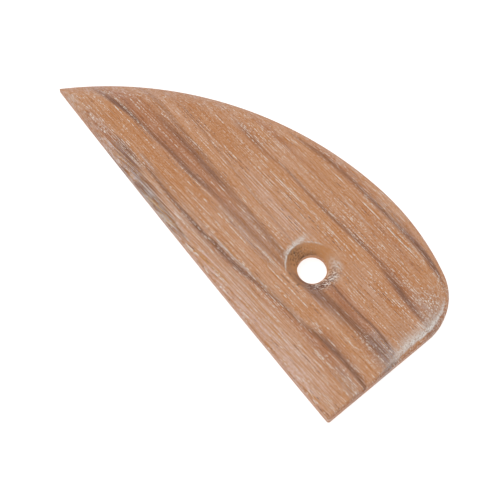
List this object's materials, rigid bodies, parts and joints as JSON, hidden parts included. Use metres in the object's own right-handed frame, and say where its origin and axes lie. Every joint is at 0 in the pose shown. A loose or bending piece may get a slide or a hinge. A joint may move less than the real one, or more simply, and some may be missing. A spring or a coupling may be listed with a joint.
{
  "type": "pottery rib",
  "caption": "Flat hardwood pottery rib with a straight working edge, a bevelled bow, a rounded shoulder and a countersunk hang hole.",
  "frame": {"origin": "centre of the hang hole at the flat back face", "axes": "+X along the straight working edge from the tip to the heel, +Y across the rib to the bow, +Z out of the bevelled, countersunk face"},
  "size_m": [0.1395, 0.0619, 0.0063],
  "materials": {
    "wood": "bare sanded open-pored hardwood, matt, with pale residue in the pores"
  },
  "bodies": {
    "root": {"rib": "wood"}
  },
  "joints": []
}
